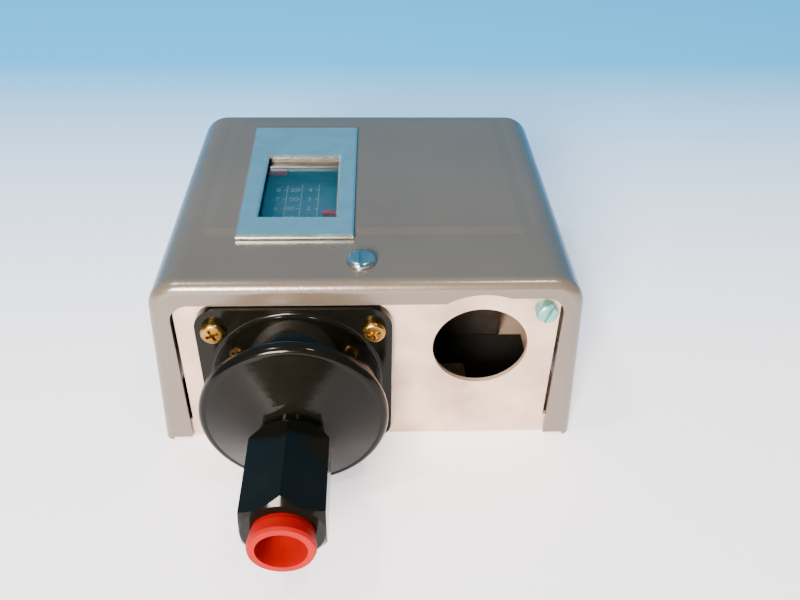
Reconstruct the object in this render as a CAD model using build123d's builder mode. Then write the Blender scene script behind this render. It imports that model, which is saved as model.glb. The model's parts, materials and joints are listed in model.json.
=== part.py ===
from build123d import *
import os

os.makedirs("parts", exist_ok=True)

# Frame: origin at the middle of the case's back face, +Z towards the cover's top,
# +Y away from the pressure connection, +X towards the conduit side. Millimetres.

# Cover and case
base_width = 102.0
top_width = 96.4
length = 86.0
height = 48.0
cover_skin = 0.8
case_plate = 1.2
front = -length / 2
rear = length / 2
wall_setback = 1.1
front_face = front + wall_setback
front_inside = front_face + case_plate
rear_inside = rear - wall_setback - case_plate
case_half_width = 48.6
panel_half_width = 43.4
panel_top = 45.8
lip_height = 6.3
flange_half_opening = 44.0
flange_foot = 1.0
raised_pad = 0.3
mount_spacing_x = 64.0
mount_spacing_y = 72.0
mount_hole = 2.6

# Openings of the end walls
conduit_x, conduit_z, conduit_radius = 26.0, 28.9, 11.1
ground_x, ground_z = 39.9, 40.3
axis_x, axis_z = -16.6, 21.4
element_screw_x, element_screw_z = 17.8, 36.5
differential_x = -1.0

# Name plate and window
plate_x, plate_y = -17.0, 3.1
plate_width, plate_length, plate_thickness = 27.4, 57.0, 1.0
window_y, window_width, window_length = -1.5, 18.8, 31.0
cover_screw_x, cover_screw_y = -1.4, front + 8.6

# Power element, all turned about the line through (axis_x, axis_z) along Y
flange_front = front - 1.2
flange_width, flange_height, flange_z = 44.0, 41.0, 21.5
drum_radius, drum_wall = 19.2, 1.2
disc_radius = 21.0
disc_rear = front - 11.4
disc_front = front - 14.7
disc_centre = front - 19.0
disc_plate = 1.5
hex_rear = front - 21.8
hex_front = front - 44.2
hex_flats = 16.8
neck_radius = 7.4
port_radius = 5.75
port_mouth_radius = 6.3
port_step = front - 37.0
port_floor = front - 30.5
bore_radius = 2.0

# Mechanism
lever_y = front + 10.2
lever_thickness = 1.6
pivot_x = -38.0
pivot_y = lever_y + lever_thickness / 2
pivot_radius = 1.5
running = 0.05
range_nut_y = front + 57.0
differential_nut_y = front + 36.0

# Switch
switch_left, switch_right = 12.0, 38.0
switch_front, switch_rear = front + 38.0, front + 66.0
switch_top = 24.0
switch_wall = 1.8
lid_thickness = 2.0
plunger_x, plunger_z = 17.5, 14.0
arm_pivot_x, arm_pivot_y = 33.0, front + 49.0
terminal_xs = (18.5, 33.0)

element_axis = Axis((axis_x, 0, axis_z), (0, 1, 0))


def facing_front(y):
    """Plane at y whose normal points to the front, with X and Z as its own axes."""
    return Plane.XZ.offset(-y)


def turned_section(points):
    """Half section of a turned piece of the power element, from (radius, y) corners."""
    Polygon(*[(axis_x + radius, y) for radius, y in points], align=None)


def block(x_range, y_range, z_range, mode=Mode.ADD):
    """Rectangular block between the given limits, in the part that is open."""
    limits = (x_range, y_range, z_range)
    with Locations(tuple((low + high) / 2 for low, high in limits)):
        Box(*[high - low for low, high in limits], mode=mode)


def rod_along_y(x, z, radius, y0, y1, mode=Mode.ADD):
    """Cylinder along Y between y0 and y1, in the part that is open."""
    with Locations((x, (y0 + y1) / 2, z)):
        Cylinder(radius, y1 - y0, rotation=(90, 0, 0), mode=mode)


def rod_along_z(x, y, radius, z0, z1, mode=Mode.ADD):
    """Cylinder along Z between z0 and z1, in the part that is open."""
    with Locations((x, y, (z0 + z1) / 2)):
        Cylinder(radius, z1 - z0, mode=mode)


def save(piece, name):
    """Label a finished piece and write it."""
    piece.part.label = name
    export_step(piece.part, f"parts/{name}.step")


# ---------------------------------------------------------------- case
switch_lug_holes = ((41.5, front + 54), (24.0, front + 70))
with BuildPart() as case:
    with BuildSketch(Plane.XY):
        Rectangle(2 * case_half_width, length - 2 * wall_setback)
        with GridLocations(mount_spacing_x, mount_spacing_y, 2, 2):
            Circle(mount_hole, mode=Mode.SUBTRACT)
    extrude(amount=case_plate)
    fillet(case.faces().sort_by(Axis.Z)[0].outer_wire().edges(), radius=1.0)
    # threaded holes under the switch lugs
    for x, y in switch_lug_holes:
        rod_along_z(x, y, 1.5, -1, 3, mode=Mode.SUBTRACT)
save(case, "case")

with BuildPart() as side_lips:
    for side in (-1, 1):
        lip_x = sorted((side * case_half_width, side * (case_half_width - case_plate)))
        block(lip_x, (front_inside, rear_inside), (case_plate, lip_height))
save(side_lips, "side_lips")


def end_wall(wall_rear):
    """End wall of the case with its lower wings, one plate thick, its rear face at wall_rear."""
    with BuildPart() as wall:
        with BuildSketch(facing_front(wall_rear)) as outline:
            with Locations((0, (case_plate + lip_height) / 2)):
                Rectangle(2 * case_half_width, lip_height - case_plate)
            with Locations((0, (case_plate + panel_top) / 2)):
                Rectangle(2 * panel_half_width, panel_top - case_plate)
            fillet(outline.vertices().group_by(Axis.Y)[-1], radius=5)
        extrude(amount=case_plate)
    return wall.part


with BuildPart() as front_wall:
    add(end_wall(front_inside))
    # bent tab that takes the cover screw
    block(
        (cover_screw_x - 6, cover_screw_x + 6),
        (front_inside, cover_screw_y + 5),
        (panel_top - case_plate, panel_top),
    )
    rod_along_z(cover_screw_x, cover_screw_y, 1.95, 44, 47, mode=Mode.SUBTRACT)
    for x, z, radius in (
        (conduit_x, conduit_z, conduit_radius),
        (axis_x, axis_z, 5.0),
        (axis_x - element_screw_x, element_screw_z, 1.95),
        (axis_x + element_screw_x, element_screw_z, 1.95),
        (ground_x, ground_z, 2.0),
    ):
        rod_along_y(x, z, radius, front, front_inside + 1, mode=Mode.SUBTRACT)
save(front_wall, "front_wall")

with BuildPart() as rear_wall:
    add(end_wall(rear - wall_setback))
    # openings for the two adjusting screws
    for x, radius in ((axis_x, 3.1), (differential_x, 2.1)):
        rod_along_y(x, axis_z, radius, rear_inside - 1, rear, mode=Mode.SUBTRACT)
save(rear_wall, "rear_wall")

# ---------------------------------------------------------------- cover
with BuildPart() as cover:
    with BuildSketch(facing_front(rear)) as shell_profile:
        Polygon(
            (-base_width / 2, 0),
            (base_width / 2, 0),
            (top_width / 2, height),
            (-top_width / 2, height),
            align=None,
        )
        fillet(shell_profile.vertices().group_by(Axis.Y)[-1], radius=7.5)
    extrude(amount=length)
    for end_face in (cover.faces().sort_by(Axis.Y)[0], cover.faces().sort_by(Axis.Y)[-1]):
        fillet(end_face.edges().sort_by(Axis.Z)[1:], radius=2.6)
    offset(amount=-cover_skin, openings=cover.faces().sort_by(Axis.Z)[0])
    # front opening, stepped and relieved round the conduit hole
    with BuildSketch(facing_front(front + 1.0)) as front_opening:
        with Locations((-9, 20.65)):
            Rectangle(2 * flange_half_opening - 18, 43.3)
        with Locations((35, 21.35)):
            Rectangle(18, 44.7)
        with Locations((conduit_x, conduit_z)):
            Circle(15.9)
        fillet(front_opening.vertices().filter_by(lambda v: abs(v.X) > 43 and v.Y > 30), radius=4.5)
    extrude(amount=2.0, mode=Mode.SUBTRACT)
    with BuildSketch(facing_front(rear + 1.0)) as rear_opening:
        with Locations((0, 20.85)):
            Rectangle(2 * flange_half_opening, 43.7)
        fillet(rear_opening.vertices().group_by(Axis.Y)[-1], radius=4.5)
    extrude(amount=2.0, mode=Mode.SUBTRACT)
    # the end flanges stop short of the side walls' feet
    for y0 in (front - 1, rear - 1.8):
        block(
            (-base_width / 2 + 2, base_width / 2 - 2),
            (y0, y0 + 2.8),
            (-1, flange_foot),
            mode=Mode.SUBTRACT,
        )
    # the top steps up slightly behind the cover screw
    with BuildSketch(Plane.XY.offset(height)):
        with Locations((0, front + 51.4)):
            RectangleRounded(79, 63.6, 3.5)
    extrude(amount=raised_pad, taper=84)
    block(
        (plate_x - 9.8, plate_x + 9.8),
        (window_y - 15.9, window_y + 15.9),
        (height - 3, height + 3),
        mode=Mode.SUBTRACT,
    )
    rod_along_z(cover_screw_x, cover_screw_y, 2.6, height - 3, height + 3, mode=Mode.SUBTRACT)
save(cover, "cover")

with BuildPart() as cover_screw:
    rod_along_z(cover_screw_x, cover_screw_y, 1.9, height - 9.5, height)
    rod_along_z(cover_screw_x, cover_screw_y, 3.4, height, height + 1.5)
    fillet(cover_screw.faces().sort_by(Axis.Z)[-1].edges(), radius=1.3)
    block(
        (cover_screw_x - 0.5, cover_screw_x + 0.5),
        (cover_screw_y - 4, cover_screw_y + 4),
        (height + 0.7, height + 3),
        mode=Mode.SUBTRACT,
    )
save(cover_screw, "cover_screw")

plate_base = height + raised_pad
with BuildPart() as name_plate:
    with BuildSketch(Plane.XY.offset(plate_base)):
        Polygon(
            (plate_x - plate_width / 2, plate_y - plate_length / 2),
            (plate_x + plate_width / 2, plate_y - plate_length / 2),
            (plate_x + plate_width / 2 + 0.5, plate_y + plate_length / 2),
            (plate_x - plate_width / 2 - 1.1, plate_y + plate_length / 2),
            align=None,
        )
        with Locations((plate_x, window_y)):
            Rectangle(window_width, window_length, mode=Mode.SUBTRACT)
    extrude(amount=plate_thickness)
    chamfer(name_plate.faces().sort_by(Axis.Z)[-1].edges(), length=0.45)
save(name_plate, "name_plate")

with BuildPart() as window_lens:
    block(
        (plate_x - 11.5, plate_x + 11.5),
        (window_y - 17.5, window_y + 17.5),
        (height - cover_skin - 1.0, height - cover_skin),
    )
save(window_lens, "window_lens")

# ---------------------------------------------------------------- power element
with BuildPart() as element_housing:
    with BuildSketch(facing_front(front_face)):
        with Locations((axis_x, flange_z)):
            RectangleRounded(flange_width, flange_height, 5)
    extrude(amount=front_face - flange_front)
    rod_along_y(axis_x, axis_z, drum_radius, disc_front + disc_plate, flange_front)
    junction = element_housing.edges().filter_by(GeomType.CIRCLE)
    junction = junction.filter_by(lambda e: abs(e.radius - drum_radius) < 0.01).sort_by(Axis.Y)[-1]
    fillet(junction, radius=1.1)
    inner_radius = drum_radius - drum_wall
    rod_along_y(axis_x, axis_z, inner_radius, disc_front + disc_plate, flange_front, mode=Mode.SUBTRACT)
    rod_along_y(axis_x, axis_z, 8.0, disc_front, front_face + 1, mode=Mode.SUBTRACT)
    for side in (-1, 1):
        x = axis_x + side * element_screw_x
        rod_along_y(x, element_screw_z, 2.1, flange_front - 1, front_face + 1, mode=Mode.SUBTRACT)
save(element_housing, "element_housing")

with BuildPart() as element_end_disc:
    with BuildSketch(Plane.XY.offset(axis_z)):
        turned_section(
            [
                (neck_radius, disc_centre - 0.7),
                (9.4, disc_centre),
                (disc_radius - 1.9, disc_front),
                (disc_radius, disc_front),
                (disc_radius, disc_rear),
                (drum_radius + 0.02, disc_rear),
                (drum_radius + 0.02, disc_front + disc_plate),
                (disc_radius - 2.4, disc_front + disc_plate),
                (9.4, disc_centre + disc_plate),
                (neck_radius, disc_centre + disc_plate),
            ]
        )
    revolve(axis=element_axis)
    rims = element_end_disc.edges().filter_by(GeomType.CIRCLE)
    rims = rims.filter_by(lambda e: abs(e.radius - disc_radius) < 0.01).sort_by(Axis.Y)
    fillet(rims[0], radius=1.6)
    fillet(rims[-1], radius=1.0)
save(element_end_disc, "element_end_disc")

bellows_front = disc_front + disc_plate
bellows_rear = front - 3.4
bellows_wall = 0.5
bellows_waves = 6
bellows_pitch = (bellows_rear - 0.8 - bellows_front) / bellows_waves
bellows_outside = [(11.5, bellows_front)]
for wave in range(bellows_waves):
    wave_start = bellows_front + wave * bellows_pitch
    bellows_outside.append((15.0, wave_start + 0.5 * bellows_pitch))
    bellows_outside.append((11.5, wave_start + bellows_pitch))
bellows_inside = [(radius - bellows_wall, y) for radius, y in reversed(bellows_outside)]
with BuildPart() as bellows:
    with BuildSketch(Plane.XY.offset(axis_z)):
        turned_section(bellows_outside + bellows_inside)
        turned_section(
            [
                (0, bellows_rear - 0.8),
                (11.5, bellows_rear - 0.8),
                (11.5, bellows_rear),
                (0, bellows_rear),
            ]
        )
    revolve(axis=element_axis)
save(bellows, "bellows")

with BuildPart() as push_rod:
    rod_along_y(axis_x, axis_z, 5.5, bellows_rear + 0.3, bellows_rear + 1.6)
    rod_along_y(axis_x, axis_z, 2.5, bellows_rear + 0.3, lever_y - 0.3)
    fillet(push_rod.faces().sort_by(Axis.Y)[-1].edges(), radius=0.8)
save(push_rod, "push_rod")

with BuildPart() as pressure_connector:
    with BuildSketch(facing_front(hex_rear)):
        with Locations((axis_x, axis_z)):
            RegularPolygon(hex_flats / 2, 6, major_radius=False, rotation=30)
    extrude(amount=hex_rear - hex_front)
    with BuildSketch(Plane.XY.offset(axis_z)):
        turned_section(
            [
                (0, hex_front),
                (8.2, hex_front),
                (9.9, hex_front + 1.5),
                (9.9, hex_rear - 2.6),
                (8.1, hex_rear),
                (0, hex_rear),
            ]
        )
    revolve(axis=element_axis, mode=Mode.INTERSECT)
    with BuildSketch(Plane.XY.offset(axis_z)):
        turned_section(
            [
                (0, hex_rear),
                (neck_radius - 0.02, hex_rear),
                (neck_radius - 0.02, disc_centre + disc_plate),
                (0, disc_centre + disc_plate),
            ]
        )
    revolve(axis=element_axis)
    rod_along_y(axis_x, axis_z, bore_radius, hex_front, disc_centre + 3, mode=Mode.SUBTRACT)
    rod_along_y(axis_x, axis_z, port_radius, hex_front, port_floor, mode=Mode.SUBTRACT)
    rod_along_y(axis_x, axis_z, port_mouth_radius, hex_front, port_step, mode=Mode.SUBTRACT)
save(pressure_connector, "pressure_connector")

plug_rim_front = front - 48.3
plug_floor = front - 38.0
with BuildPart() as port_plug:
    with BuildSketch(Plane.XY.offset(axis_z)):
        turned_section(
            [
                (0, plug_floor),
                (5.8, plug_floor),
                (6.2, hex_front),
                (6.45, hex_front - 1.0),
                (6.75, plug_rim_front + 0.7),
                (6.45, plug_rim_front),
                (5.05, plug_rim_front),
                (4.5, plug_floor - 1.2),
                (0, plug_floor - 1.2),
            ]
        )
    revolve(axis=element_axis)
save(port_plug, "port_plug")

with BuildPart() as element_screws:
    for side in (-1, 1):
        x = axis_x + side * element_screw_x
        rod_along_y(x, element_screw_z, 1.9, flange_front, front + 6.0)
        rod_along_y(x, element_screw_z, 2.75, flange_front - 2.0, flange_front)
    heads = element_screws.edges().group_by(Axis.Y)[0]
    fillet(heads, radius=0.9)
    for side in (-1, 1):
        with BuildSketch(facing_front(flange_front - 1.0)):
            with Locations((axis_x + side * element_screw_x, element_screw_z)):
                Rectangle(3.2, 0.8, rotation=25)
                Rectangle(0.8, 3.2, rotation=25)
        extrude(amount=2.0, mode=Mode.SUBTRACT)
save(element_screws, "element_screws")

ground_head = 3.0
with BuildPart() as ground_screw:
    rod_along_y(ground_x, ground_z, 1.95, front_face, front + 8.0)
    rod_along_y(ground_x, ground_z, 2.45, front_face - ground_head, front_face)
    fillet(ground_screw.faces().sort_by(Axis.Y)[0].edges(), radius=0.7)
    with BuildSketch(facing_front(front_face - ground_head + 1.1)):
        with Locations((ground_x, ground_z)):
            Rectangle(8, 0.9, rotation=70)
    extrude(amount=3.0, mode=Mode.SUBTRACT)
save(ground_screw, "ground_screw")

# ---------------------------------------------------------------- lever
ear_height = 1.5
lever_low, lever_high = 14.0, 29.0
with BuildPart() as lever_bracket:
    block((pivot_x - 5.0, pivot_x + 4.0), (pivot_y - 4, pivot_y + 4), (case_plate, case_plate + 1.2))
    block(
        (pivot_x - 5.0, pivot_x - 3.8),
        (pivot_y - 4, pivot_y + 4),
        (case_plate, lever_high + 0.3 + ear_height),
    )
    for ear_z in (lever_low - 0.3 - ear_height, lever_high + 0.3):
        block((pivot_x - 5.0, pivot_x + 3.0), (pivot_y - 4, pivot_y + 4), (ear_z, ear_z + ear_height))
    rod_along_z(pivot_x, pivot_y, pivot_radius, lever_low - 3, lever_high + 3, mode=Mode.SUBTRACT)
save(lever_bracket, "lever_bracket")

with BuildPart() as lever_pin:
    rod_along_z(pivot_x, pivot_y, pivot_radius, lever_low - 2.4, lever_high + ear_height + 0.3)
    rod_along_z(pivot_x, pivot_y, 2.4, lever_high + ear_height + 0.3, lever_high + ear_height + 1.3)
save(lever_pin, "lever_pin")

finger_x = plunger_x - 1.6
with BuildPart() as main_lever:
    block((pivot_x, finger_x), (lever_y, lever_y + lever_thickness), (lever_low, lever_high))
    rod_along_z(pivot_x, pivot_y, 3.0, lever_low, lever_high)
    # finger that reaches back to the switch plunger, with its end pad
    finger_rear = switch_front - 3.8
    finger_z = (plunger_z - 4, plunger_z + 4)
    block((finger_x - 1.6, finger_x), (lever_y, finger_rear), finger_z)
    block((finger_x - 1.6, finger_x + 4.6), (finger_rear - 1.6, finger_rear), finger_z)
    # spring seats
    rod_along_y(axis_x, axis_z, 4.4, lever_y + lever_thickness, lever_y + lever_thickness + 1.6)
    rod_along_y(differential_x, axis_z, 2.4, lever_y + lever_thickness, lever_y + lever_thickness + 1.6)
    rod_along_z(pivot_x, pivot_y, pivot_radius + running, lever_low, lever_high, mode=Mode.SUBTRACT)
save(main_lever, "main_lever")


# ---------------------------------------------------------------- range and differential springs
def coil(x, mean_radius, wire_radius, turns, y0, y1):
    """Compression spring along Y between y0 and y1, as one swept coil."""
    rise = y1 - y0 - 2 * wire_radius
    path = Helix(
        pitch=rise / turns,
        height=rise,
        radius=mean_radius,
        center=(x, y0 + wire_radius, axis_z),
        direction=(0, 1, 0),
    )
    with BuildPart() as spring:
        with BuildLine():
            add(path)
        with BuildSketch(Plane(origin=path @ 0, z_dir=path % 0)):
            Circle(wire_radius)
        sweep(is_frenet=True)
    return spring


spring_seat_y = lever_y + lever_thickness + 0.3
range_spring = coil(axis_x, 6.4, 1.1, 9, spring_seat_y, range_nut_y)
save(range_spring, "range_spring")
differential_spring = coil(differential_x, 3.6, 0.6, 8, spring_seat_y, differential_nut_y)
save(differential_spring, "differential_spring")


def adjusting_screw(x, shank_radius, collar_radius, head_radius, tip_y):
    """Adjusting screw along Y with a thrust collar inside the rear wall and a slotted head outside."""
    with BuildPart() as screw:
        rod_along_y(x, axis_z, shank_radius, tip_y, rear - 0.9)
        rod_along_y(x, axis_z, collar_radius, rear_inside - 1.7, rear_inside - 0.3)
        rod_along_y(x, axis_z, head_radius, rear - 0.9, rear + 1.4)
        chamfer(screw.faces().sort_by(Axis.Y)[-1].edges(), length=0.5)
        block(
            (x - 0.6, x + 0.6), (rear + 0.3, rear + 3), (axis_z - 8, axis_z + 8), mode=Mode.SUBTRACT
        )
    return screw


range_screw = adjusting_screw(axis_x, 3.0, 5.5, 4.6, front + 45)
save(range_screw, "range_screw")
differential_screw = adjusting_screw(differential_x, 2.0, 3.6, 3.4, front + 27)
save(differential_screw, "differential_screw")


def square_nut(x, y0, side, thickness, hole_radius):
    """Square spring nut on an adjusting screw."""
    with BuildPart() as nut:
        block(
            (x - side / 2, x + side / 2),
            (y0, y0 + thickness),
            (axis_z - side / 2, axis_z + side / 2),
        )
        rod_along_y(x, axis_z, hole_radius, y0 - 1, y0 + thickness + 1, mode=Mode.SUBTRACT)
        chamfer(nut.edges().filter_by(Axis.Y), length=0.8)
    return nut


range_nut = square_nut(axis_x, range_nut_y, 13.0, 6.0, 3.0 + running)
save(range_nut, "range_nut")
differential_nut = square_nut(differential_x, differential_nut_y, 9.0, 5.0, 2.0 + running)
save(differential_nut, "differential_nut")


def pointer(nut_x, nut_side, nut_mid_y, riser_x, tip_x):
    """Bent strip from the top of a spring nut, up past the scale's edge and in over the scale."""
    strip = 0.8
    finger_top = 42.4
    foot_z = axis_z + nut_side / 2
    outward = 1 if riser_x > nut_x else -1
    foot = sorted((nut_x - outward * nut_side * 0.4, riser_x + outward * strip))
    riser = sorted((riser_x, riser_x + outward * strip))
    finger = sorted((tip_x, riser_x + outward * strip))
    with BuildPart() as strip_part:
        block(foot, (nut_mid_y - 2, nut_mid_y + 2), (foot_z, foot_z + strip))
        block(riser, (nut_mid_y - 2, nut_mid_y + 2), (foot_z, finger_top))
        block(finger, (nut_mid_y - 0.8, nut_mid_y + 0.8), (finger_top - strip, finger_top))
    return strip_part


range_pointer = pointer(axis_x, 13.0, range_nut_y + 3.0, -34.8, -22.5)
save(range_pointer, "range_pointer")
differential_pointer = pointer(differential_x, 9.0, differential_nut_y + 2.5, 1.8, -11.5)
save(differential_pointer, "differential_pointer")

# ---------------------------------------------------------------- scale
scale_z = 39.0
rivet_xs = (-28.0, -6.0)
with BuildPart() as scale_bracket:
    block((-32, -2), (front + 21, rear_inside), (scale_z, scale_z + 1))
    block((-32, -2), (rear_inside - 1, rear_inside), (30, scale_z))
    for x in rivet_xs:
        rod_along_y(x, 34.5, 1.2, rear_inside - 2, rear_inside + 1, mode=Mode.SUBTRACT)
save(scale_bracket, "scale_bracket")

with BuildPart() as scale_plate:
    block((-30, -4), (front + 22, front + 66), (scale_z + 1, scale_z + 1.6))
save(scale_plate, "scale_plate")

with BuildPart() as bracket_rivets:
    for x in rivet_xs:
        rod_along_y(x, 34.5, 1.2, rear_inside - 1, rear_inside)
        rod_along_y(x, 34.5, 2.1, rear_inside - 1.9, rear_inside - 1)
    fillet(bracket_rivets.faces().group_by(Axis.Y)[0].edges(), radius=0.6)
save(bracket_rivets, "bracket_rivets")

# ---------------------------------------------------------------- switch
cavity_x = (switch_left + switch_wall, switch_right - switch_wall)
cavity_y = (switch_front + switch_wall, switch_rear - switch_wall)
with BuildPart() as switch_housing:
    block((switch_left, switch_right), (switch_front, switch_rear), (case_plate, switch_top))
    fillet(switch_housing.edges().filter_by(Axis.Z), radius=1.2)
    block(cavity_x, cavity_y, (case_plate + 2.4, switch_top), mode=Mode.SUBTRACT)
    block((switch_right - 1, 45.4), (front + 50, front + 58), (case_plate, case_plate + 3))
    block((20, 28), (switch_rear - 1, front + 74), (case_plate, case_plate + 3))
    for x, y in switch_lug_holes:
        rod_along_z(x, y, 1.6, 0, 6, mode=Mode.SUBTRACT)
    rod_along_y(plunger_x, plunger_z, 1.85, switch_front - 1, switch_front + 3, mode=Mode.SUBTRACT)
save(switch_housing, "switch_housing")

tail_y = (front + 52.6, front + 53.4)
tail_half = 2.5
with BuildPart() as switch_lid:
    block((switch_left, switch_right), (switch_front, switch_rear), (switch_top, switch_top + lid_thickness))
    fillet(switch_lid.edges().filter_by(Axis.Z), radius=1.2)
    for x in terminal_xs:
        block((x - 2.6, x + 2.6), (tail_y[0] - 0.1, tail_y[1] + 0.1), (20, 30), mode=Mode.SUBTRACT)
        rod_along_z(x, front + 47.5, 1.9, 20, 30, mode=Mode.SUBTRACT)
save(switch_lid, "switch_lid")

terminal_z = switch_top + lid_thickness
for name, x in zip(("load_terminal", "line_terminal"), terminal_xs):
    with BuildPart() as terminal:
        block((x - 3.6, x + 3.6), (front + 43, tail_y[1]), (terminal_z, terminal_z + 1))
        block((x - tail_half, x + tail_half), tail_y, (9, terminal_z))
        rod_along_z(x, front + 47.5, 2.0, terminal_z - 1, terminal_z + 3, mode=Mode.SUBTRACT)
        if name == "load_terminal":
            rod_along_y(x, plunger_z, 1.8, tail_y[0] - 1.0, tail_y[0])
    save(terminal, name)

with BuildPart() as terminal_screws:
    for x in terminal_xs:
        rod_along_z(x, front + 47.5, 1.9, switch_top + 0.4, terminal_z + 1)
        rod_along_z(x, front + 47.5, 3.3, terminal_z + 1, terminal_z + 3.2)
    fillet(terminal_screws.faces().group_by(Axis.Z)[-1].edges(), radius=0.8)
    for x in terminal_xs:
        block(
            (x - 4, x + 4),
            (front + 47.0, front + 48.0),
            (terminal_z + 2.2, terminal_z + 4),
            mode=Mode.SUBTRACT,
        )
save(terminal_screws, "terminal_screws")

with BuildPart() as switch_screws:
    for x, y in switch_lug_holes:
        rod_along_z(x, y, 1.45, 0.3, case_plate + 3)
        rod_along_z(x, y, 2.8, case_plate + 3, case_plate + 5)
    fillet(switch_screws.faces().group_by(Axis.Z)[-1].edges(), radius=0.7)
    for x, y in switch_lug_holes:
        block((x - 4, x + 4), (y - 0.4, y + 0.4), (case_plate + 4.1, case_plate + 6), mode=Mode.SUBTRACT)
save(switch_screws, "switch_screws")

arm_front = arm_pivot_y - 2.4
with BuildPart() as switch_plunger:
    rod_along_y(plunger_x, plunger_z, 1.8, switch_front - 3.5, arm_front - 0.3)
    rod_along_y(plunger_x, plunger_z, 3.0, switch_front + 2.2, switch_front + 3.4)
    fillet(switch_plunger.faces().sort_by(Axis.Y)[0].edges(), radius=0.6)
    fillet(switch_plunger.faces().sort_by(Axis.Y)[-1].edges(), radius=1.2)
save(switch_plunger, "switch_plunger")

with BuildPart() as contact_arm:
    block((14.2, arm_pivot_x), (arm_front, arm_front + 0.8), (plunger_z - 3.5, plunger_z + 3.5))
    rod_along_z(arm_pivot_x, arm_pivot_y - 0.6, 1.8, plunger_z - 3.5, plunger_z + 3.5)
    rod_along_y(18.5, plunger_z, 1.8, arm_front + 0.8, arm_front + 1.8)
    rod_along_z(arm_pivot_x, arm_pivot_y - 0.6, 1.05, plunger_z - 5, plunger_z + 5, mode=Mode.SUBTRACT)
save(contact_arm, "contact_arm")

with BuildPart() as contact_pin:
    rod_along_z(arm_pivot_x, arm_pivot_y - 0.6, 1.0, case_plate + 2.4, plunger_z + 4.6)
    rod_along_z(arm_pivot_x, arm_pivot_y - 0.6, 2.4, case_plate + 2.4, plunger_z - 3.8)
    rod_along_z(arm_pivot_x, arm_pivot_y - 0.6, 1.8, plunger_z + 3.8, plunger_z + 4.6)
save(contact_pin, "contact_pin")

with BuildPart() as fibre_barrier:
    block((6.2, 7.0), (front + 36, front + 80), (case_plate, 37))
    block((7.0, 11.2), (front + 20, front + 80), (case_plate, case_plate + 0.8))
    block((7.0, 26.0), (front + 5, front + 25), (case_plate, case_plate + 0.8))
    fillet(fibre_barrier.edges().filter_by(Axis.X).group_by(Axis.Z)[-1], radius=3)
save(fibre_barrier, "fibre_barrier")

with BuildPart() as floor_liner:
    block((12.0, 44.0), (front + 25.4, front + 37.5), (case_plate, case_plate + 0.5))
    block((26.4, 44.0), (front + 5, front + 25.4), (case_plate, case_plate + 0.5))
save(floor_liner, "floor_liner")
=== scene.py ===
import json
from math import radians

import bpy
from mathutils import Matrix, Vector


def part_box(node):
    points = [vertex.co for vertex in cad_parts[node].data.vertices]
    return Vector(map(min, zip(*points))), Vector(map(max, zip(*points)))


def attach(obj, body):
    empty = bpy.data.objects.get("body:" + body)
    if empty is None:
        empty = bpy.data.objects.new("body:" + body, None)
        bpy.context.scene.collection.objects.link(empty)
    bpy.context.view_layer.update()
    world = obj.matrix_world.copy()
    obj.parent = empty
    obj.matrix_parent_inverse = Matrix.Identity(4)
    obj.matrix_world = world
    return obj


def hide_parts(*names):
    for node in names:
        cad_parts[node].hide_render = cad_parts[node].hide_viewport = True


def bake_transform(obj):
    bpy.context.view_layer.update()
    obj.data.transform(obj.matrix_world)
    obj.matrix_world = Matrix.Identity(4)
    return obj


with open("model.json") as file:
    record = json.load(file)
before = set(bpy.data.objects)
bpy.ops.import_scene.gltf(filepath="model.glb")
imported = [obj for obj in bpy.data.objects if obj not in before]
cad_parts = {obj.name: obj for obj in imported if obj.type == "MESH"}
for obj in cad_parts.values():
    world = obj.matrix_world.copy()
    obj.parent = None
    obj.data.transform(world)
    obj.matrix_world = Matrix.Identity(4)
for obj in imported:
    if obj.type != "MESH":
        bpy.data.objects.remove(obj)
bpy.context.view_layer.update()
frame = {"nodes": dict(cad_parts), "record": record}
nodes = frame["nodes"]


# ------------------------------------------------------------ materials
class Surface:
    """One procedural material: a Principled shader, with helpers that add noise and bump to it."""

    def __init__(self, name, **values):
        self.material = bpy.data.materials.new(name)
        self.material.use_nodes = True
        self.tree = self.material.node_tree
        self.shader = self.tree.nodes["Principled BSDF"]
        self.coordinates = self.node("ShaderNodeTexCoord").outputs["Object"]
        for socket, value in values.items():
            self.shader.inputs[socket].default_value = value

    def node(self, kind):
        return self.tree.nodes.new(kind)

    def link(self, source, target):
        self.tree.links.new(source, target)

    def noise(self, scale, detail=3.0):
        """Noise value at the surface; scale is in waves per metre."""
        texture = self.node("ShaderNodeTexNoise")
        texture.inputs["Scale"].default_value = scale
        texture.inputs["Detail"].default_value = detail
        self.link(self.coordinates, texture.inputs["Vector"])
        return texture.outputs["Fac"]

    def ramp(self, value, low, high, start=0.35, end=0.65):
        """Colour between low and high as value goes from start to end."""
        ramp = self.node("ShaderNodeValToRGB")
        first, last = ramp.color_ramp.elements
        first.color, last.color = (*low, 1), (*high, 1)
        self.link(self.spread(value, 0.0, 1.0, start, end), ramp.inputs["Fac"])
        return ramp.outputs["Color"]

    def spread(self, value, low, high, start=0.3, end=0.7):
        """Number between low and high as value goes from start to end."""
        spread = self.node("ShaderNodeMapRange")
        limits = {"From Min": start, "From Max": end, "To Min": low, "To Max": high}
        for socket, number in limits.items():
            spread.inputs[socket].default_value = number
        self.link(value, spread.inputs["Value"])
        return spread.outputs["Result"]

    def colour(self, source):
        self.link(source, self.shader.inputs["Base Color"])

    def roughness(self, source):
        self.link(source, self.shader.inputs["Roughness"])

    def bump(self, height, distance):
        bump = self.node("ShaderNodeBump")
        bump.inputs["Distance"].default_value = distance
        self.link(height, bump.inputs["Height"])
        self.link(bump.outputs["Normal"], self.shader.inputs["Normal"])


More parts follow.
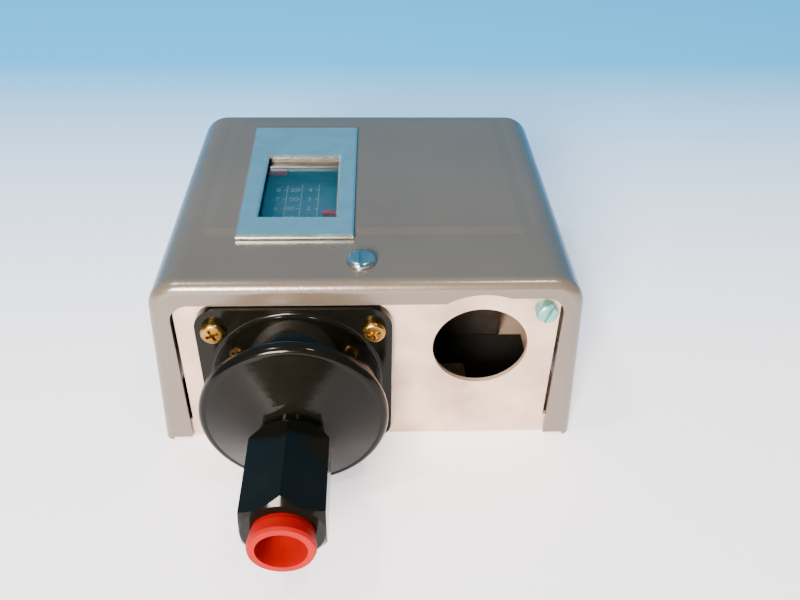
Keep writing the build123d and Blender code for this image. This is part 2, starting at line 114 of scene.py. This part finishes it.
def mottled(name, low, high, rough, scale, bump_scale, bump_distance, **values):
    """Common recipe: slow colour mottling, roughness that varies with it, and a fine bump."""
    surface = Surface(name, **values)
    slow = surface.noise(scale)
    surface.colour(surface.ramp(slow, low, high))
    surface.roughness(surface.spread(surface.noise(scale * 3), rough[0], rough[1]))
    surface.bump(surface.noise(bump_scale, detail=2), bump_distance)
    return surface


# slot: lower and upper colour, roughness range, mottling and bump in waves per metre,
# bump depth in metres, and uniform shader values
RECIPES = {
    "cover_paint": (
        (0.096, 0.077, 0.057), (0.108, 0.087, 0.064), (0.24, 0.30), 25, 900, 0.00003,
        {"Metallic": 0.10, "Specular IOR Level": 1.0},
    ),
    "galvanised": (
        (0.46, 0.33, 0.25), (0.72, 0.54, 0.41), (0.40, 0.58), 70, 700, 0.00004,
        {"Metallic": 0.45},
    ),
    "zinc": (
        (0.26, 0.33, 0.35), (0.34, 0.40, 0.42), (0.22, 0.34), 300, 1500, 0.00003,
        {"Metallic": 0.95},
    ),
    # the blue-teal tint of bezel_metal is painted reflection of the blue sky behind the object
    "bezel_metal": (
        (0.46, 0.60, 0.60), (0.52, 0.66, 0.66), (0.16, 0.24), 200, 1400, 0.00002,
        {"Metallic": 0.9},
    ),
    "scale_print": ((0.035, 0.13, 0.20), (0.05, 0.16, 0.24), (0.35, 0.45), 200, 1200, 0.00001, {}),
    "black_enamel": (
        (0.0030, 0.0030, 0.0020), (0.0045, 0.0042, 0.0030), (0.10, 0.16), 80, 500, 0.00002,
        {"Specular IOR Level": 0.13},
    ),
    "red_plastic": (
        (0.26, 0.0004, 0.0003), (0.30, 0.0006, 0.0004), (0.45, 0.55), 200, 1200, 0.00003,
        {"Specular IOR Level": 0.10},
    ),
    "brass_plating": (
        (0.26, 0.145, 0.030), (0.34, 0.20, 0.05), (0.24, 0.38), 500, 1600, 0.00003,
        {"Metallic": 1.0},
    ),
    "green_plating": (
        (0.12, 0.34, 0.30), (0.20, 0.46, 0.41), (0.26, 0.38), 500, 1600, 0.00003,
        {"Metallic": 0.6},
    ),
    "bronze": (
        (0.50, 0.33, 0.16), (0.60, 0.41, 0.20), (0.25, 0.40), 200, 1200, 0.00003,
        {"Metallic": 1.0},
    ),
    "plated_steel": (
        (0.50, 0.48, 0.42), (0.58, 0.55, 0.48), (0.30, 0.42), 150, 900, 0.00003,
        {"Metallic": 0.9},
    ),
    "spring_steel": (
        (0.30, 0.31, 0.33), (0.38, 0.39, 0.41), (0.25, 0.40), 400, 1500, 0.00003,
        {"Metallic": 1.0},
    ),
    "brass": (
        (0.70, 0.52, 0.22), (0.80, 0.62, 0.30), (0.20, 0.34), 300, 1300, 0.00003,
        {"Metallic": 1.0},
    ),
    "red_pointer": ((0.55, 0.02, 0.02), (0.65, 0.04, 0.03), (0.30, 0.40), 300, 1200, 0.00002, {}),
    "dark_moulding": (
        (0.012, 0.010, 0.008), (0.020, 0.016, 0.013), (0.35, 0.50), 200, 900, 0.00004,
        {},
    ),
    "white_moulding": ((0.70, 0.69, 0.64), (0.78, 0.77, 0.72), (0.40, 0.50), 200, 900, 0.00003, {}),
    "copper_alloy": (
        (0.60, 0.30, 0.18), (0.70, 0.38, 0.24), (0.20, 0.34), 300, 1300, 0.00003,
        {"Metallic": 1.0},
    ),
    "fibre": ((0.46, 0.36, 0.25), (0.60, 0.48, 0.34), (0.60, 0.75), 500, 1500, 0.00008, {}),
    "black_fibre": ((0.006, 0.006, 0.006), (0.010, 0.010, 0.009), (0.60, 0.75), 500, 1500, 0.00008, {}),
    "scale_ink": ((0.30, 0.42, 0.46), (0.36, 0.48, 0.52), (0.40, 0.50), 300, 1200, 0.00001, {}),
    "scale_dark": ((0.03, 0.09, 0.12), (0.05, 0.12, 0.15), (0.40, 0.50), 300, 1200, 0.00001, {}),
}


def make_materials():
    made = {}
    for slot, (low, high, rough, scale, bump_scale, depth, values) in RECIPES.items():
        made[slot] = mottled(slot, low, high, rough, scale, bump_scale, depth, **values)
    glass = Surface("clear_window", Roughness=0.03, IOR=1.35)
    glass.shader.inputs["Transmission Weight"].default_value = 1.0
    glass.colour(glass.ramp(glass.noise(40), (0.86, 0.95, 0.98), (0.90, 0.97, 1.0)))
    made["clear_window"] = glass
    return {slot: surface.material for slot, surface in made.items()}


materials = make_materials()
slot_of = {entry["node"]: entry["material_slot"] for entry in frame["record"]["subparts"]}
for name, node in nodes.items():
    node.data.materials.clear()
    node.data.materials.append(materials[slot_of[name]])


# ------------------------------------------------------------ scale printing
INK_THICKNESS = 0.0001
INK_LIFT = 0.00006
FIGURE_HEIGHT = 0.0026
FIRST_ROW_Y = 0.0095
ROW_PITCH = 0.0048
DASH_OFFSET = 0.0019
DASH_SIZE = (0.0008, 0.00025)
RULE_SIZE = (0.0002, 0.0250)
REAR_BAR_Y = 0.0135
REAR_BAR_SIZE = (0.0170, 0.0028)
INDEX_OFFSET = 0.0045
INDEX_Y = -0.0035
INDEX_SIZE = (0.0016, 0.0007)
# column offset from the plate's middle, offset of the rule beside it, and its figures from the top
COLUMNS = (
    (-0.0072, 0.0024, ("8", "7", "6", "5", "4")),
    (-0.0034, 0.0026, ("120", "100", "80", "70", "60")),
    (0.0014, 0.0024, ("4", "3", "2", "1", "0")),
)
plate_low, plate_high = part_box("scale_plate")
plate_middle_x = (plate_low.x + plate_high.x) / 2
ink_z = plate_high.z + INK_LIFT


def belongs_to_scale(piece, material):
    piece.data.materials.append(materials[material])
    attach(piece, "case")


def print_mark(name, x, y, size, material):
    """Flat printed bar on the scale plate."""
    bpy.ops.mesh.primitive_cube_add(size=1, location=(x, y, ink_z))
    piece = bpy.context.object
    piece.name = name
    piece.scale = (*size, INK_THICKNESS)
    bpy.ops.object.transform_apply(location=False, rotation=False, scale=True)
    belongs_to_scale(piece, material)


def print_figure(name, text, x, y):
    """Printed number on the scale plate."""
    curve = bpy.data.curves.new(name, "FONT")
    curve.body = text
    curve.size = FIGURE_HEIGHT
    curve.align_x = "CENTER"
    curve.align_y = "CENTER"
    curve.extrude = INK_THICKNESS / 2
    made = bpy.data.objects.new(name, curve)
    bpy.context.scene.collection.objects.link(made)
    made.location = (x, y, ink_z)
    bpy.ops.object.select_all(action="DESELECT")
    made.select_set(True)
    bpy.context.view_layer.objects.active = made
    bpy.ops.object.convert(target="MESH")
    belongs_to_scale(bpy.context.object, "scale_ink")


def print_on_scale():
    """Range columns with figures and dashes, ruled lines, a dark bar across the rear and a red index
    mark.
    """
    for column, (offset, _, figures) in enumerate(COLUMNS):
        x = plate_middle_x + offset
        for row, text in enumerate(figures):
            y = FIRST_ROW_Y - row * ROW_PITCH
            print_figure(f"scale_figure_{column}_{row}", text, x, y)
            print_mark(f"scale_dash_{column}_{row}", x + DASH_OFFSET, y, DASH_SIZE, "scale_ink")
    for offset, rule_offset, _ in COLUMNS:
        x = plate_middle_x + offset + rule_offset
        print_mark(f"scale_rule_{x:.4f}", x, 0.0, RULE_SIZE, "scale_ink")
    # dark teal bar across the rear of the scale plate
    print_mark("scale_rear_dark_bar", plate_middle_x, REAR_BAR_Y, REAR_BAR_SIZE, "scale_dark")
    index_x = plate_middle_x + COLUMNS[2][0] + INDEX_OFFSET
    print_mark("scale_index", index_x, INDEX_Y, INDEX_SIZE, "red_pointer")


print_on_scale()


# ------------------------------------------------------------ springs and bellows as loose copies
def flexible(node):
    """Loose copy of a spring or bellows with its transform baked in; the CAD original is hidden."""
    piece = bpy.data.objects.new(f"{node}_flexible", nodes[node].data.copy())
    bpy.context.scene.collection.objects.link(piece)
    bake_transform(piece)
    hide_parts(node)


flexible("range_spring")
flexible("differential_spring")
flexible("bellows")


# ------------------------------------------------------------ black sheet as painted shade
SHADE_SHEET_THICKNESS = 0.0005
SHADE_SHEET_GAP = 0.0004
SHADE_SHEET_ABOVE_SWITCH = 0.011
SHADE_SHEET_LIFT = 0.001


def place_painted_shade_sheet():
    """Black sheet that stands against the rear wall behind the conduit hole: painted shade for the dark
    inside of the case.
    """
    floor_low, floor_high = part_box("floor_liner")
    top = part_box("switch_housing")[1].z + SHADE_SHEET_ABOVE_SWITCH
    bottom = floor_low.z + SHADE_SHEET_LIFT
    rear_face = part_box("rear_wall")[0].y - SHADE_SHEET_GAP
    centre = (
        (floor_low.x + floor_high.x) / 2,
        rear_face - SHADE_SHEET_THICKNESS / 2,
        (bottom + top) / 2,
    )
    bpy.ops.mesh.primitive_cube_add(size=1, location=centre)
    piece = bpy.context.object
    piece.name = "rear_painted_shade_sheet"
    piece.scale = (floor_high.x - floor_low.x, SHADE_SHEET_THICKNESS, top - bottom)
    bpy.ops.object.transform_apply(location=False, rotation=False, scale=True)
    # black_fibre here is painted shade, darkening the case interior seen through the conduit hole
    piece.data.materials.append(materials["black_fibre"])
    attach(piece, "case")


place_painted_shade_sheet()


# ------------------------------------------------------------ stage
FLOOR_SIZE = 6
# where the floor colour turns blue: painted blue light behind the object
FLOOR_BLUE_LIGHT_FADE = (-0.03, 0.21)
LENS = 36.0
SENSOR = 36.0
CAMERA_PLACE = (0.00059, -0.18207, 0.15103)
CAMERA_ANGLES = (52.354, -0.926, -1.945)
# name: place, size of the square, watts, colour
LIGHTS = {
    "key": ((-0.28, -0.90, 0.45), 0.30, 44, (1.0, 0.86, 0.74)),
    "spark_left": ((-0.22, -0.10, 0.55), 0.05, 1.6, (1.0, 0.97, 0.92)),
    "spark_right": ((0.16, -0.16, 0.60), 0.05, 1.2, (1.0, 0.95, 0.88)),
}


def make_floor():
    """Pale floor whose colour fades to blue behind the object, painted blue light; it also glows
    slightly.
    """
    bpy.ops.mesh.primitive_plane_add(size=FLOOR_SIZE)
    floor = bpy.context.object
    floor.name = "floor"
    surface = Surface("floor", Roughness=0.55)
    split = surface.node("ShaderNodeSeparateXYZ")
    surface.link(surface.coordinates, split.inputs["Vector"])
    shade = surface.ramp(split.outputs["Y"], (0.95, 0.93, 1.0), (0.03, 0.40, 0.78), *FLOOR_BLUE_LIGHT_FADE)
    surface.colour(shade)
    # the floor glows in its own colours, so the blue part is painted blue light
    surface.link(shade, surface.shader.inputs["Emission Color"])
    surface.shader.inputs["Emission Strength"].default_value = 0.85
    floor.data.materials.append(surface.material)


def make_light(name, location, size, watts, colour):
    """Square soft light aimed at the object."""
    data = bpy.data.lights.new(name, "AREA")
    data.shape = "RECTANGLE"
    data.size = size
    data.size_y = size
    data.energy = watts
    data.color = colour
    lamp = bpy.data.objects.new(name, data)
    bpy.context.scene.collection.objects.link(lamp)
    lamp.location = location
    lamp.rotation_euler = (-Vector(location)).to_track_quat("-Z", "Y").to_euler()


def make_world():
    """Soft studio: blue behind the object, dim towards the front."""
    world = bpy.data.worlds.new("studio")
    world.use_nodes = True
    tree = world.node_tree
    background = tree.nodes["Background"]
    direction = tree.nodes.new("ShaderNodeTexCoord")
    split = tree.nodes.new("ShaderNodeSeparateXYZ")
    ramp = tree.nodes.new("ShaderNodeValToRGB")
    stretch = tree.nodes.new("ShaderNodeMapRange")
    tree.links.new(direction.outputs["Generated"], split.inputs["Vector"])
    tree.links.new(split.outputs["Y"], stretch.inputs["Value"])
    stretch.inputs["From Min"].default_value = -1.0
    tree.links.new(stretch.outputs["Result"], ramp.inputs["Fac"])
    front_stop, rear_stop = ramp.color_ramp.elements
    front_stop.position, rear_stop.position = 0.35, 0.75
    front_stop.color = (0.045, 0.040, 0.035, 1)
    rear_stop.color = (0.08, 0.48, 0.82, 1)
    tree.links.new(ramp.outputs["Color"], background.inputs["Color"])
    background.inputs["Strength"].default_value = 1.0
    bpy.context.scene.world = world


def make_camera():
    data = bpy.data.cameras.new("camera")
    data.lens = LENS
    data.sensor_width = SENSOR
    data.clip_start = 0.01
    camera = bpy.data.objects.new("camera", data)
    bpy.context.scene.collection.objects.link(camera)
    camera.location = CAMERA_PLACE
    camera.rotation_euler = [radians(angle) for angle in CAMERA_ANGLES]
    bpy.context.scene.camera = camera


make_floor()
make_world()
for light, settings in LIGHTS.items():
    make_light(light, *settings)
make_camera()
